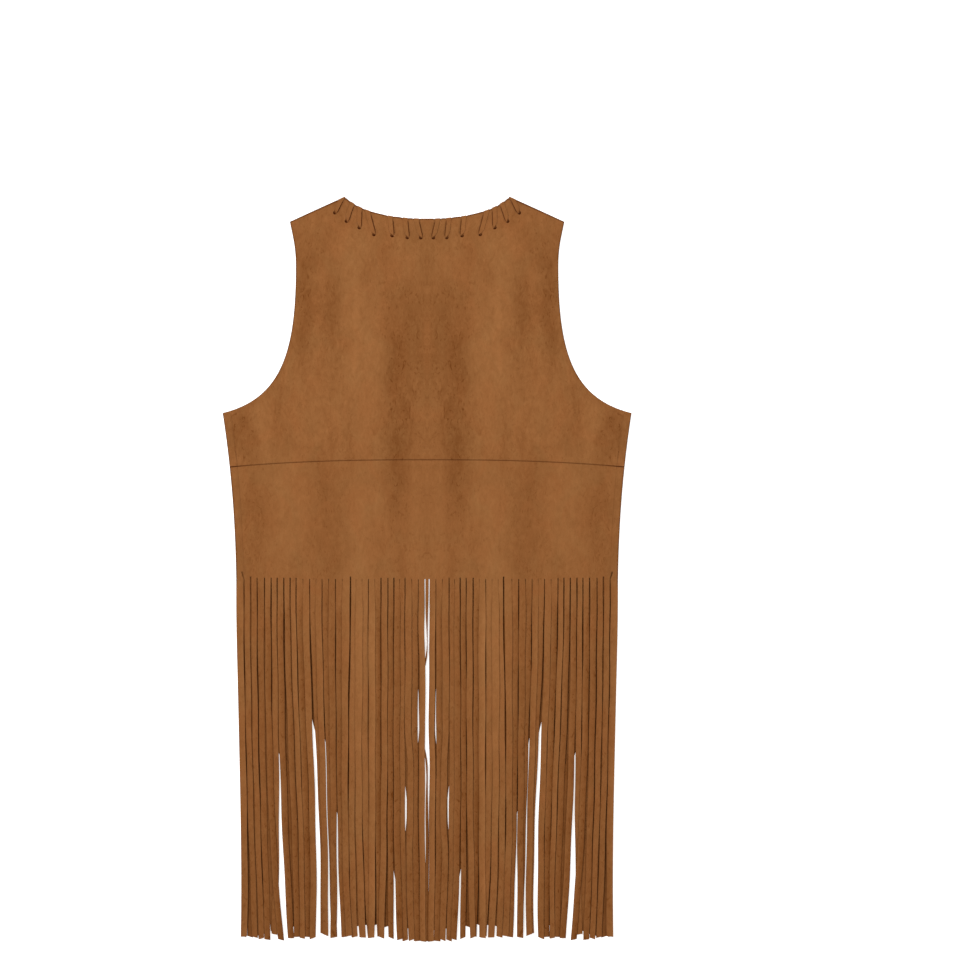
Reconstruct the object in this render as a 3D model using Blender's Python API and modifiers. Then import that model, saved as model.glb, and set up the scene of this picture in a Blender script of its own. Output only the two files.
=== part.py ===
"""A western vest of faux suede, laid flat on its front, so that its back shows.

The back is cut in two pieces that meet in a bowed cross seam. The lower one ends in a deep fringe,
and so do the two fronts that lie under it. A flat thong is whip-stitched through punched holes
round the back neck. X runs across the vest, Y from the hem to the neck, and Z up from the floor.
"""

import math
from collections import namedtuple

import bmesh
import bpy
import numpy as np
from mathutils import Vector
from mathutils.bvhtree import BVHTree
from mathutils.geometry import interpolate_bezier

MM = 0.001

# The cut, in metres
LENGTH = 0.930
NECK_WIDTH = 0.206
NECK_DROP = 0.0273
NECK_ROUND = 0.63
NECK_POWER = 5.5
SHOULDER_WIDTH = 0.343
SHOULDER_DROP = 0.031
CROSS_BACK_WIDTH = 0.328
CROSS_BACK_DROP = 0.087
CHEST_WIDTH = 0.511
ARMHOLE_DROP = 0.270
SEAM_DROP = 0.3375
SEAM_BOW = 0.009
SEAM_POWER = 2.5
FRINGE_DROP = 0.479
HIP_WIDTH = 0.477
STRIP = 0.008

# Each row is one curve of the vest's side: from the shoulder tip to the cross back, round the armhole
# to the underarm, and down to the fringe. Its two handles are millimetres from its own ends.
Curve = namedtuple("Curve", "leave_across leave_up arrive_across arrive_up points")
SIDE_CURVES = (
    Curve(-4.0, -20.0, 0.0, 24.0, 5),
    Curve(0.0, -108.0, -73.0, 18.0, 10),
    Curve(-11.0, -70.0, 1.0, 69.0, 9),
)
NECK_COLUMNS = 9
SHOULDER_COLUMNS = 6
LOWER_COLUMNS = 32

# The cloth and how its layers lie on each other
WALL = 0.0011
GAP = 0.0003
LAYER = WALL + GAP
BACK_Z = LAYER
SIDE_RISE = 0.0012
SIDE_RISE_RUN = 0.035
WAVE_RISE = 0.0006
WAVE_LENGTH = 0.078
WAVE_LEAN = 1.4
WAVE_TURNS = 7.0
LOWER_ROWS = 5
BLEND_ROWS = 2

# The fronts, which the back hides
FRONT_OPENING = 0.0055
FRONT_NECK_DROP = 0.230
FRONT_COLUMNS = 6

# The fringe
FREE_SHARE = 0.08
TAPER_SHARE = 0.25
MIDDLE_STRAND_WIDTH = 0.0040
MIDDLE_SLIT = 0.0013
MIDDLE_WANDER = 0.0066
MIDDLE_OPENS = 0.085
MIDDLE_CLOSES = 0.235
WANDER_RUN = 0.030
WANDER_STEPS = 4
FRINGE_LENGTH = LENGTH - FRINGE_DROP
MID_SHARE = 0.49
LIFT_RUN = 0.045
FLOOR_CLEARANCE = 0.0002
FRONT_SLIT = 0.0008
FRONT_INSET = 0.0004
FRONT_TUCK = 0.0004
FRONT_SHORTER = 0.014
FRONT_SHORTER_RUN = 0.045
BACK_STATIONS = (0.015, 0.030, 0.045, 0.110, 0.190, 0.275, 0.360, FRINGE_LENGTH)
FRONT_STATIONS = (0.022, 0.045, 0.150, 0.250, 0.350, FRINGE_LENGTH)

# Each row is a strand of the back's fringe, from the centre out, in millimetres. "cut" is where the
# slit beyond it is cut, from the centre, and "slit" is how wide that is. "mid" and "tip" are where
# the strand's middle lies halfway down and at its end, "wide" is its width there, and "short" is how
# far it stops above the longest ones. Where the fringe parts beyond it, one sees through from "opens"
# to "closes", both below the roots, and there the strand lies "wander" nearer the centre.
Row = namedtuple("Row", "cut slit mid tip wide short opens closes wander", defaults=(0.0, 0.0, 0.0))
OPEN_END = 500.0
BACK_ROWS = (
    Row(11.0, 0.5, 6.65, 5.0, 7.5, 0.0, 98.0, 232.0, 0.9),
    Row(19.1, 0.5, 15.4, 12.2, 7.9, 0.3),
    Row(27.5, 0.9, 23.9, 19.3, 7.4, 1.8, 228.0, 345.0, 2.6),
    Row(34.3, 0.4, 31.2, 27.0, 6.9, 1.0),
    Row(41.4, 1.3, 38.3, 33.6, 7.2, 2.5, 338.0, OPEN_END),
    Row(48.9, 0.9, 45.7, 44.7, 6.9, 4.1),
    Row(57.5, 1.2, 53.4, 57.5, 7.6, 4.9),
    Row(65.3, 0.3, 61.3, 57.9, 7.3, 6.4),
    Row(73.3, 0.7, 68.8, 69.7, 7.5, 4.5),
    Row(81.2, 0.3, 77.4, 69.7, 7.6, 6.0),
    Row(88.8, 0.3, 85.7, 79.9, 7.4, 4.9),
    Row(95.6, 1.5, 94.0, 90.4, 7.4, 5.4),
    Row(106.0, 0.5, 102.5, 96.9, 7.4, 6.9),
    Row(114.5, 0.8, 109.6, 103.4, 7.0, 5.4, 268.0, OPEN_END),
    Row(123.0, 0.6, 117.2, 116.4, 7.4, 4.9),
    Row(131.2, 0.6, 123.6, 116.8, 7.1, 6.4, 172.0, OPEN_END, 0.9),
    Row(138.8, 0.3, 130.6, 127.1, 7.1, 8.0),
    Row(146.7, 0.7, 134.8, 130.4, 7.1, 9.5, 158.0, OPEN_END),
    Row(155.0, 0.4, 145.3, 142.6, 7.3, 4.0),
    Row(163.6, 0.9, 153.9, 149.2, 7.5, 5.5),
    Row(171.0, 1.2, 161.3, 156.0, 6.4, 4.0),
    Row(178.9, 1.1, 169.1, 162.6, 7.6, 5.5),
    Row(187.2, 1.2, 180.2, 169.4, 7.8, 4.0, 198.0, OPEN_END),
    Row(194.7, 1.1, 188.9, 191.0, 7.4, 8.8),
    Row(203.0, 1.2, 196.4, 182.5, 7.6, 2.1),
    Row(212.3, 0.9, 205.4, 199.0, 7.6, 2.1),
    Row(220.3, 1.6, 213.7, 206.6, 6.8, 3.6),
    Row(228.8, 1.1, 221.9, 214.6, 7.3, 5.0),
    Row(238.5, 0.0, 230.2, 228.7, 8.2, 6.0),
)

# Each row is a stitch of the lacing on one half of the neck, from the shoulder to the centre: its
# hole and where the thong crosses the edge, in millimetres from the centre and below the neck point.
Stitch = namedtuple("Stitch", "hole_across hole_drop edge_across")
STITCHES = (
    Stitch(115.0, 20.0, 106.4),
    Stitch(100.6, 30.5, 93.2),
    Stitch(84.6, 38.5, 84.0),
    Stitch(66.4, 47.0, 74.4),
    Stitch(43.6, 48.5, 45.9),
    Stitch(24.6, 50.9, 27.1),
    Stitch(7.9, 51.1, 13.3),
)
HOLE_DIAMETER = 0.0046
HOLE_SIDES = 12
PUNCH_LENGTH = 0.020
THONG_WIDTH = 0.0034
THONG_WALL = 0.0010
THONG_CLEARANCE = 0.00035
THONG_TAIL = 0.006
BEND = 0.0007
STRAIGHTEN = 4 * BEND
FOLD_RUN = 6 * BEND
LACE_RISE = THONG_WALL + 2 * THONG_CLEARANCE - GAP
LACE_OVERHANG = 0.0009
LACE_RISE_WIDTH = 0.125
LACE_RISE_DROP = 0.065
LACE_RISE_RUN = 0.045

TAN = (0.296, 0.119, 0.037, 1.0)
FRINGE_TAN = (0.246, 0.098, 0.027, 1.0)
HIDDEN_TAN = (0.215, 0.086, 0.026, 1.0)
THONG_TAN = (0.270, 0.110, 0.036, 1.0)
SUEDE_ROUGHNESS = 0.95

TOP_Y = LENGTH / 2 - LACE_OVERHANG / 2
SHOULDER_Y = TOP_Y - SHOULDER_DROP
CROSS_BACK_Y = TOP_Y - CROSS_BACK_DROP
UNDERARM_Y = TOP_Y - ARMHOLE_DROP
SEAM_Y = TOP_Y - SEAM_DROP
ROOT_Y = TOP_Y - FRINGE_DROP
STRIP_Y = ROOT_Y + STRIP
FRONT_NECK_Y = TOP_Y - FRONT_NECK_DROP


def smooth(share):
    """Eases from 0 to 1 as the share goes from 0 to 1."""
    share = min(max(share, 0.0), 1.0)
    return share * share * (3 - 2 * share)


def outline():
    """The side of the vest from the shoulder tip down to the fringe, as points on three curves."""
    shoulder = Vector((SHOULDER_WIDTH / 2, SHOULDER_Y))
    cross = Vector((CROSS_BACK_WIDTH / 2, CROSS_BACK_Y))
    underarm = Vector((CHEST_WIDTH / 2, UNDERARM_Y))
    hip = Vector((HIP_WIDTH / 2, ROOT_Y))
    corners = (shoulder, cross, underarm, hip)
    points = [shoulder]
    for start, end, curve in zip(corners, corners[1:], SIDE_CURVES):
        leave = start + Vector((curve.leave_across, curve.leave_up)) * MM
        arrive = end + Vector((curve.arrive_across, curve.arrive_up)) * MM
        points += interpolate_bezier(start, leave, arrive, end, curve.points)[1:]
    return points


OUTLINE = outline()
OUTLINE_X = [point.x for point in reversed(OUTLINE)]
OUTLINE_Y = [point.y for point in reversed(OUTLINE)]


def half_width(y):
    """Half the vest's width at this height, between the fringe and the shoulder tips."""
    return float(np.interp(y, OUTLINE_Y, OUTLINE_X))


def top_edge(across):
    """The height of the neck edge or the shoulder seam, this far from the centre."""
    across = abs(across)
    share = across / (NECK_WIDTH / 2)
    if share < 1:
        rise = NECK_ROUND * share**2 + (1 - NECK_ROUND) * share**NECK_POWER
        return TOP_Y - NECK_DROP * (1 - rise)
    slope = SHOULDER_DROP / (SHOULDER_WIDTH / 2 - NECK_WIDTH / 2)
    return TOP_Y - (across - NECK_WIDTH / 2) * slope


def upper_shares():
    """Where the upper back's columns stand, from -1 to 1, with one at each neck point."""
    neck = NECK_WIDTH / SHOULDER_WIDTH
    half = [neck * step / NECK_COLUMNS for step in range(NECK_COLUMNS)]
    half += [neck + (1 - neck) * step / SHOULDER_COLUMNS for step in range(SHOULDER_COLUMNS + 1)]
    return [-share for share in reversed(half[1:])] + half


UPPER_SHARES = upper_shares()
TOP_X = [share * SHOULDER_WIDTH / 2 for share in UPPER_SHARES]


def cut_edge(x):
    """The top edge of the upper back as its columns give it, straight from one to the next."""
    return float(np.interp(x, TOP_X, [top_edge(point) for point in TOP_X]))


def seam_line(across):
    """The bowed cross seam's height, this far from the centre."""
    share = min(abs(across) / half_width(SEAM_Y), 1.0)
    return SEAM_Y + SEAM_BOW * (1 - share**SEAM_POWER)


def back_rise(x, y):
    """How far the back's underside lies above its lowest level: soft waves that die out at the sides,
    and room for the thong round the neck."""
    from_side = smooth((half_width(y) - abs(x)) / SIDE_RISE_RUN)
    wave = 0.5 + 0.5 * math.sin(math.tau * (abs(x) / WAVE_LENGTH) + WAVE_LEAN * math.sin(WAVE_TURNS * y))
    beside_neck = smooth(1 + (LACE_RISE_WIDTH - abs(x)) / LACE_RISE_RUN)
    under_neck = smooth(1 + (y - (TOP_Y - LACE_RISE_DROP)) / LACE_RISE_RUN)
    return (SIDE_RISE + WAVE_RISE * wave) * from_side + LACE_RISE * beside_neck * under_neck


def suede(name, colour):
    material = bpy.data.materials.new(name)
    material.use_nodes = True
    shader = material.node_tree.nodes["Principled BSDF"]
    shader.inputs["Base Color"].default_value = colour
    shader.inputs["Roughness"].default_value = SUEDE_ROUGHNESS
    shader.inputs["Metallic"].default_value = 0.0
    material.diffuse_color = colour
    return material


def thicken(name, bm, colour, wall, offset=1.0):
    """Makes the open surface a wall of cloth. An offset of 1 keeps the surface as its underside."""
    bmesh.ops.recalc_face_normals(bm, faces=bm.faces)
    bm.normal_update()
    if sum(face.normal.z for face in bm.faces) < 0:
        bmesh.ops.reverse_faces(bm, faces=bm.faces)
    mesh = bpy.data.meshes.new(name)
    bm.to_mesh(mesh)
    bm.free()
    mesh.materials.append(suede(name, colour))
    mesh.shade_smooth()
    cloth = bpy.data.objects.new(name, mesh)
    VEST.objects.link(cloth)
    solidify = cloth.modifiers.new("wall", "SOLIDIFY")
    solidify.thickness = wall
    solidify.offset = offset
    solidify.use_even_offset = True
    return cloth


def panel(name, columns, rows, place, colour):
    """A panel from a grid. place gives a point for each column's and row's share."""
    bm = bmesh.new()
    bmesh.ops.create_grid(bm, x_segments=columns, y_segments=rows, size=1.0)
    for vert in bm.verts:
        column = round((vert.co.x + 1) / 2 * columns)
        row = round((vert.co.y + 1) / 2 * rows)
        vert.co = place(column, row)
    return thicken(name, bm, colour, WALL)


def back_point(x, y):
    return Vector((x, y, BACK_Z + back_rise(x, y)))


def build_back_upper():
    side = [point.y for point in reversed(OUTLINE) if point.y > SEAM_Y + STRIP]
    heights = [SEAM_Y + GAP / 2] + side
    last = len(heights) - 1

    def place(column, row):
        share = UPPER_SHARES[column]
        x = share * half_width(heights[row])
        y = heights[row]
        if row == 0:
            y = seam_line(x) + GAP / 2
        elif row == 1:
            y += (seam_line(x) - SEAM_Y) / 2
        elif row > last - BLEND_ROWS:
            lift = (row - last + BLEND_ROWS) / BLEND_ROWS
            y += (top_edge(share * SHOULDER_WIDTH / 2) - SHOULDER_Y) * lift
        return back_point(x, y)

    back = panel("back_upper", len(UPPER_SHARES) - 1, last, place, TAN)
    for side_sign in (-1, 1):
        for number, stitch in enumerate(STITCHES):
            punch_hole(back, side_sign * stitch.hole_across * MM, TOP_Y - stitch.hole_drop * MM, number)
    return back


def punch_hole(cloth, x, y, number):
    """Cuts a round hole through the cloth with a peg that stands upright in it."""
    side_name = "right" if x > 0 else "left"
    mesh = bpy.data.meshes.new(f"punch_{side_name}_{number}")
    bm = bmesh.new()
    bmesh.ops.create_cone(
        bm,
        cap_ends=True,
        segments=HOLE_SIDES,
        radius1=HOLE_DIAMETER / 2,
        radius2=HOLE_DIAMETER / 2,
        depth=PUNCH_LENGTH,
    )
    bm.to_mesh(mesh)
    bm.free()
    punch = bpy.data.objects.new(mesh.name, mesh)
    punch.location = (x, y, 0.0)
    punch.hide_render = True
    punch.display_type = "WIRE"
    CUTTERS.objects.link(punch)
    cut = cloth.modifiers.new(mesh.name, "BOOLEAN")
    cut.operation = "DIFFERENCE"
    cut.solver = "EXACT"
    cut.object = punch


def build_back_lower():
    def place(column, row):
        level = row / LOWER_ROWS
        bottom = STRIP_Y + GAP
        x = (2 * column / LOWER_COLUMNS - 1) * half_width(bottom + level * (SEAM_Y - bottom))
        y = bottom + level * (seam_line(x) - GAP / 2 - bottom)
        return back_point(x, y)

    panel("back_lower", LOWER_COLUMNS, LOWER_ROWS, place, TAN)


def build_front(side_name, side_sign):
    """A front in one flat piece, from the fringe to the shoulder, with a V neck."""
    side = [point.y for point in reversed(OUTLINE) if point.y > STRIP_Y + STRIP]
    heights = [STRIP_Y + GAP] + side
    last = len(heights) - 1

    def place(column, row):
        y = heights[row]
        neck = 2 * smooth((y - FRONT_NECK_Y) / (SHOULDER_Y - FRONT_NECK_Y) / 2)
        inner = FRONT_OPENING / 2 + neck * (NECK_WIDTH - FRONT_OPENING) / 2
        share = column / FRONT_COLUMNS
        x = inner + share * (half_width(y) - inner)
        if row > last - BLEND_ROWS:
            lift = (row - last + BLEND_ROWS) / BLEND_ROWS
            y += SHOULDER_DROP * (1 - share) * lift
        return Vector((side_sign * x, y, 0.0))

    panel(f"front_{side_name}", FRONT_COLUMNS, last, place, HIDDEN_TAN)


Strand = namedtuple("Strand", "inner outer mid tip wide short level wander opens closes")


def centre(strand, share):
    """A strand hangs straight from its root, then drifts through its middle place to its tip. One that
    wanders lies nearer the centre of the back from where it opens the fringe to where it closes it."""
    root = (strand.inner + strand.outer) / 2
    square = ((strand.mid - root) - (strand.tip - root) * MID_SHARE**3) / (MID_SHARE**2 - MID_SHARE**3)
    cube = (strand.tip - root) - square
    down = share * FRINGE_LENGTH
    away = smooth((down - strand.opens) / WANDER_RUN) * smooth((strand.closes - down) / WANDER_RUN)
    return root + square * share**2 + cube * share**3 - strand.wander * away


def width(strand, share):
    cut = strand.outer - strand.inner
    return cut + (strand.wide - cut) * smooth((share - FREE_SHARE) / TAPER_SHARE)


def back_strands():
    """The strands of the back's right half. Neighbours lie on two levels in turn."""
    strands = []
    inner = MIDDLE_STRAND_WIDTH / 2 + MIDDLE_SLIT
    for number, row in enumerate(BACK_ROWS):
        strands.append(
            Strand(
                inner=inner,
                outer=(row.cut - row.slit / 2) * MM,
                mid=row.mid * MM,
                tip=row.tip * MM,
                wide=row.wide * MM,
                short=row.short * MM,
                level=(number + 1) % 2,
                wander=row.wander * MM,
                opens=row.opens * MM,
                closes=row.closes * MM,
            )
        )
        inner = (row.cut + row.slit / 2) * MM
    return strands


def front_strands():
    """The strands of the right front. Each lies under a slit of the back, so that this doesn't show the
    floor, but where the back's fringe parts there it slips under the strand before."""
    cuts = [FRONT_OPENING / 2] + [row.cut * MM for row in BACK_ROWS]
    bounds = cuts[:1] + [(first + second) / 2 for first, second in zip(cuts, cuts[1:])] + cuts[-1:]
    strands = []
    for number, (inner, outer) in enumerate(zip(bounds, bounds[1:])):
        row = BACK_ROWS[max(number - 1, 0)]
        wide = min(row.wide * MM - FRONT_INSET, outer - inner - FRONT_SLIT)
        mid, tip, wander = row.mid, row.tip, 0.0
        if 0 < number < len(BACK_ROWS):
            beyond = BACK_ROWS[number]
            reach = (row.wide + beyond.wide) / 2
            mid, tip = mid + row.wide / 2, tip + row.wide / 2
            mid_gap, tip_gap = beyond.mid - row.mid - reach, beyond.tip - row.tip - reach
            mid, tip = mid + mid_gap / 2, tip + tip_gap / 2
            if row.opens:
                wander = (wide + max(mid_gap, tip_gap, row.wander) * MM) / 2 + FRONT_TUCK
        strands.append(
            Strand(
                inner=inner + FRONT_SLIT / 2,
                outer=outer - FRONT_SLIT / 2,
                mid=mid * MM,
                tip=tip * MM,
                wide=wide,
                short=row.short * MM + FRONT_SHORTER * smooth((cuts[-1] - outer) / FRONT_SHORTER_RUN),
                level=number % 2,
                wander=wander,
                opens=row.opens * MM,
                closes=row.closes * MM,
            )
        )
    return strands


def mirrored(strand):
    return strand._replace(
        inner=-strand.outer,
        outer=-strand.inner,
        mid=-strand.mid,
        tip=-strand.tip,
        wander=-strand.wander,
    )


def build_fringe(name, strands, stations, levels, root_z, colour):
    """A narrow strip with a strand drawn down from each stretch between its slits."""
    strands = sorted(strands, key=lambda strand: strand.inner)
    edges = [x for strand in strands for x in (strand.inner, strand.outer)]
    bm = bmesh.new()
    bmesh.ops.create_grid(bm, x_segments=len(edges) - 1, y_segments=1, size=1.0)
    for vert in bm.verts:
        x = edges[round((vert.co.x + 1) / 2 * (len(edges) - 1))]
        y = ROOT_Y
        if vert.co.y > 0:
            x *= half_width(STRIP_Y) / (HIP_WIDTH / 2)
            y = STRIP_Y
        vert.co = (x, y, root_z(x, y))
    bm.edges.ensure_lookup_table()
    roots = [edge for edge in bm.edges if max(vert.co.y for vert in edge.verts) < STRIP_Y - GAP]
    roots.sort(key=lambda edge: sum(vert.co.x for vert in edge.verts))
    for strand, root in zip(strands, roots[::2]):
        draw_strand(bm, strand, root, stations, levels[strand.level], root_z)
    return thicken(name, bm, colour, WALL)


def lengths_of(strand, stations):
    """How far below its root a strand is divided, with more divisions where it bends aside."""
    end = FRINGE_LENGTH - strand.short
    lengths = [station * end / FRINGE_LENGTH for station in stations]
    if strand.wander:
        for bend in (strand.opens, strand.closes - WANDER_RUN):
            bends = [bend + step * WANDER_RUN / WANDER_STEPS for step in range(WANDER_STEPS + 1)]
            lengths += [length for length in bends if length < end - WANDER_RUN / WANDER_STEPS]
    return sorted(lengths)


def draw_strand(bm, strand, edge, stations, level_z, root_z):
    for down in lengths_of(strand, stations):
        share = down / FRINGE_LENGTH
        fallen = smooth(down / LIFT_RUN)
        middle = centre(strand, share)
        half = width(strand, share) / 2
        z = root_z(middle, ROOT_Y) * (1 - fallen) + level_z * fallen
        made = bmesh.ops.extrude_edge_only(bm, edges=[edge])["geom"]
        ends = [part for part in made if isinstance(part, bmesh.types.BMVert)]
        ends.sort(key=lambda vert: vert.co.x)
        ends[0].co = (middle - half, ROOT_Y - down, z)
        ends[1].co = (middle + half, ROOT_Y - down, z)
        edge = bm.edges.get(ends)


def build_back_fringe():
    half = back_strands()
    edge = MIDDLE_STRAND_WIDTH / 2
    middle = Strand(
        inner=-edge,
        outer=edge,
        mid=0.0,
        tip=0.0,
        wide=MIDDLE_STRAND_WIDTH,
        short=0.0,
        level=0,
        wander=MIDDLE_WANDER,
        opens=MIDDLE_OPENS,
        closes=MIDDLE_CLOSES,
    )
    strands = half + [middle] + [mirrored(strand) for strand in half]
    levels = [FLOOR_CLEARANCE + 2 * LAYER, FLOOR_CLEARANCE + 3 * LAYER]

    def root_z(x, y):
        return BACK_Z + back_rise(x, y)

    build_fringe("back_fringe", strands, BACK_STATIONS, levels, root_z, FRINGE_TAN)


def build_front_fringe(side_name, side_sign):
    strands = front_strands()
    if side_sign < 0:
        strands = [mirrored(strand) for strand in strands]
    levels = [FLOOR_CLEARANCE, FLOOR_CLEARANCE + LAYER]
    build_fringe(
        f"front_fringe_{side_name}", strands, FRONT_STATIONS, levels, lambda x, y: 0.0, HIDDEN_TAN
    )


def blend(first, second, share):
    """A width between two others, as long as the first."""
    mixed = first * (1 - share) + second * share
    return mixed * (first.length / mixed.length)


def thong_sections(back):
    """The thong's middle line with half its width at each place: up through a hole, over the top to
    the neck edge, round the edge, and back underneath to the next hole."""
    stitches = [(-row.hole_across, row.hole_drop, -row.edge_across) for row in STITCHES]
    stitches += [(row.hole_across, row.hole_drop, row.edge_across) for row in reversed(STITCHES)]
    holes = [Vector((x * MM, TOP_Y - drop * MM, 0.0)) for x, drop, _ in stitches]
    crossings = [Vector((x * MM, cut_edge(x * MM), 0.0)) for _, _, x in stitches]
    cloth = BVHTree.FromPolygons(
        [vert.co for vert in back.data.vertices], [face.vertices for face in back.data.polygons]
    )
    half = THONG_WIDTH / 2
    reach = THONG_CLEARANCE + THONG_WALL / 2
    sections = []

    def underside(place):
        spot = cloth.ray_cast(Vector((place.x, place.y, 0.0)), Vector((0.0, 0.0, 1.0)))[0]
        return (spot or cloth.find_nearest(place)[0]).z

    def add(place, z, across):
        sections.append((Vector((place.x, place.y, z)), across))

    def below(place):
        return underside(place) - reach

    def above(place):
        return underside(place) + WALL + reach

    def across_top(going):
        return Vector((going.y, -going.x, 0.0)) * half

    coming = Vector((0.4, -1.0, 0.0)).normalized()
    tail = holes[0] - coming * THONG_TAIL
    add(tail, below(tail), -across_top(coming))
    for number, (hole, crossing) in enumerate(zip(holes, crossings)):
        going = (crossing - hole).normalized()
        came, goes = -across_top(coming), across_top(going)
        add(hole - coming * STRAIGHTEN, below(hole), came)
        add(hole - coming * BEND, below(hole), came)
        add(hole, below(hole) + BEND, blend(came, goes, 1 / 3))
        add(hole, above(hole) - BEND, blend(came, goes, 2 / 3))
        add(hole + going * BEND, above(hole), goes)
        add(hole + going * STRAIGHTEN, above(hole + going * STRAIGHTEN), goes)
        add(crossing - going * FOLD_RUN, above(crossing - going * FOLD_RUN), goes)
        left, right = crossing.x - BEND, crossing.x + BEND
        edge = Vector((2 * BEND, cut_edge(right) - cut_edge(left), 0.0)).normalized()
        outward = Vector((-edge.y, edge.x, 0.0))
        fold = edge * half / abs(going.cross(edge).z)
        inside, past = crossing - outward * BEND / 2, crossing + outward * reach
        add(inside, above(inside), fold)
        add(past, above(inside) - BEND, fold)
        add(past, below(inside) + BEND, fold)
        add(inside, below(inside), fold)
        if number + 1 < len(holes):
            coming = (holes[number + 1] - crossing).normalized()
        else:
            coming = Vector((0.0, -1.0, 0.0))
        add(crossing + coming * FOLD_RUN, below(crossing + coming * FOLD_RUN), -across_top(coming))
    return sections


def build_neck_lacing(back):
    bm = bmesh.new()
    sections = thong_sections(back)
    middle, across = sections[0]
    last = [bm.verts.new(middle - across), bm.verts.new(middle + across)]
    edge = bm.edges.new(last)
    for middle, across in sections[1:]:
        made = bmesh.ops.extrude_edge_only(bm, edges=[edge])["geom"]
        ends = [part for part in made if isinstance(part, bmesh.types.BMVert)]
        edge = bm.edges.get(ends)
        if not any(last[0] in link.verts for link in ends[0].link_edges):
            ends.reverse()
        ends[0].co = middle - across
        ends[1].co = middle + across
        last = ends
    thong = thicken("neck_lacing", bm, THONG_TAN, THONG_WALL, offset=0.0)
    thong.modifiers["wall"].use_even_offset = False


for old in list(bpy.data.objects):
    bpy.data.objects.remove(old, do_unlink=True)
VEST = bpy.data.collections.new("western_vest")
CUTTERS = bpy.data.collections.new("cutters")
bpy.context.scene.collection.children.link(VEST)
bpy.context.scene.collection.children.link(CUTTERS)

back_upper = build_back_upper()
build_back_lower()
build_back_fringe()
for name, sign in (("left", -1), ("right", 1)):
    build_front(name, sign)
    build_front_fringe(name, sign)
build_neck_lacing(back_upper)
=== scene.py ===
import math
import random
from bisect import bisect_right
from collections import namedtuple

import bmesh
import bpy
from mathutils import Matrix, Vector
from mathutils.geometry import interpolate_bezier


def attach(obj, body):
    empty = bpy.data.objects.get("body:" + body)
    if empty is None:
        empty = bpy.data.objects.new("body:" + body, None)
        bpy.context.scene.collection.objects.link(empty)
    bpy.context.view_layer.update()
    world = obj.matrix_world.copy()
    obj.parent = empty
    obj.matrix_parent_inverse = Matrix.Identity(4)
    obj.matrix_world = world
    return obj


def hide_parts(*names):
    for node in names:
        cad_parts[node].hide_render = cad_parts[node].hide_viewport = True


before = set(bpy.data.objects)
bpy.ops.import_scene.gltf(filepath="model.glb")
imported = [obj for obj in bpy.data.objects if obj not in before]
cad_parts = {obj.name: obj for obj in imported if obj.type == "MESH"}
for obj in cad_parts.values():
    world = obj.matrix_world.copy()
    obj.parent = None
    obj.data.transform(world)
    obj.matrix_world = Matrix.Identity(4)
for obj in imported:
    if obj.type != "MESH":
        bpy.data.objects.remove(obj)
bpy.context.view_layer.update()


# The view. The vest lies on a pale table, its back up, and is seen from straight above through a long
# lens. Its neck is at the top of the picture, and it lies a little left of the middle.
PICTURE_WIDTH = 1.2
PICTURE_MIDDLE = (0.0661, 0.1108)
LENS_LENGTH = 150.0
SENSOR_WIDTH = 36.0


def place_camera():
    height = PICTURE_WIDTH * LENS_LENGTH / SENSOR_WIDTH
    bpy.ops.object.camera_add(location=(*PICTURE_MIDDLE, height), rotation=(0.0, 0.0, 0.0))
    camera = bpy.context.object
    camera.name = "picture_camera"
    camera.data.lens = LENS_LENGTH
    camera.data.sensor_width = SENSOR_WIDTH
    camera.data.clip_end = 4 * height
    bpy.context.scene.camera = camera


place_camera()


# The light. A wide soft lamp hangs over the vest's upper left and a second one fills from the right.
# The white table glows a little, as a light table does, so that the fringe's gaps stay bright.
KEY_PLACE = (-1.05, 0.75, 2.7)
KEY_SIZE = 0.9
KEY_POWER = 62.0
FILL_PLACE = (1.8, -0.6, 2.0)
FILL_SIZE = 2.4
FILL_POWER = 20.0
ROOM_LIGHT = (1.0, 0.995, 0.985, 1.0)
ROOM_STRENGTH = 0.55
TABLE_SIZE = 14.0
TABLE_DROP = 0.00015
TABLE_WHITE = (0.86, 0.86, 0.855, 1.0)
TABLE_ROUGHNESS = 0.9
TABLE_GLOSS = 0.1
TABLE_GLOW = 0.65


def hang_lamp(name, place, size, power):
    bpy.ops.object.light_add(type="AREA", location=place)
    lamp = bpy.context.object
    lamp.name = name
    lamp.data.shape = "DISK"
    lamp.data.size = size
    lamp.data.energy = power
    lamp.rotation_euler = (-Vector(place)).to_track_quat("-Z", "Y").to_euler()


def lay_table():
    bpy.ops.mesh.primitive_plane_add(size=TABLE_SIZE, location=(0.0, 0.0, -TABLE_DROP))
    table = bpy.context.object
    table.name = "table"
    white = bpy.data.materials.new("table_white")
    white.use_nodes = True
    shader = white.node_tree.nodes["Principled BSDF"]
    shader.inputs["Base Color"].default_value = TABLE_WHITE
    shader.inputs["Roughness"].default_value = TABLE_ROUGHNESS
    shader.inputs["Specular IOR Level"].default_value = TABLE_GLOSS
    shader.inputs["Emission Color"].default_value = ROOM_LIGHT
    shader.inputs["Emission Strength"].default_value = TABLE_GLOW
    table.data.materials.append(white)


def light_room():
    room = bpy.data.worlds.new("room")
    room.use_nodes = True
    background = room.node_tree.nodes["Background"]
    background.inputs["Color"].default_value = ROOM_LIGHT
    background.inputs["Strength"].default_value = ROOM_STRENGTH
    bpy.context.scene.world = room
    bpy.context.scene.view_settings.view_transform = "Standard"


hang_lamp("key_lamp", KEY_PLACE, KEY_SIZE, KEY_POWER)
hang_lamp("fill_lamp", FILL_PLACE, FILL_SIZE, FILL_POWER)
lay_table()
light_room()


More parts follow.
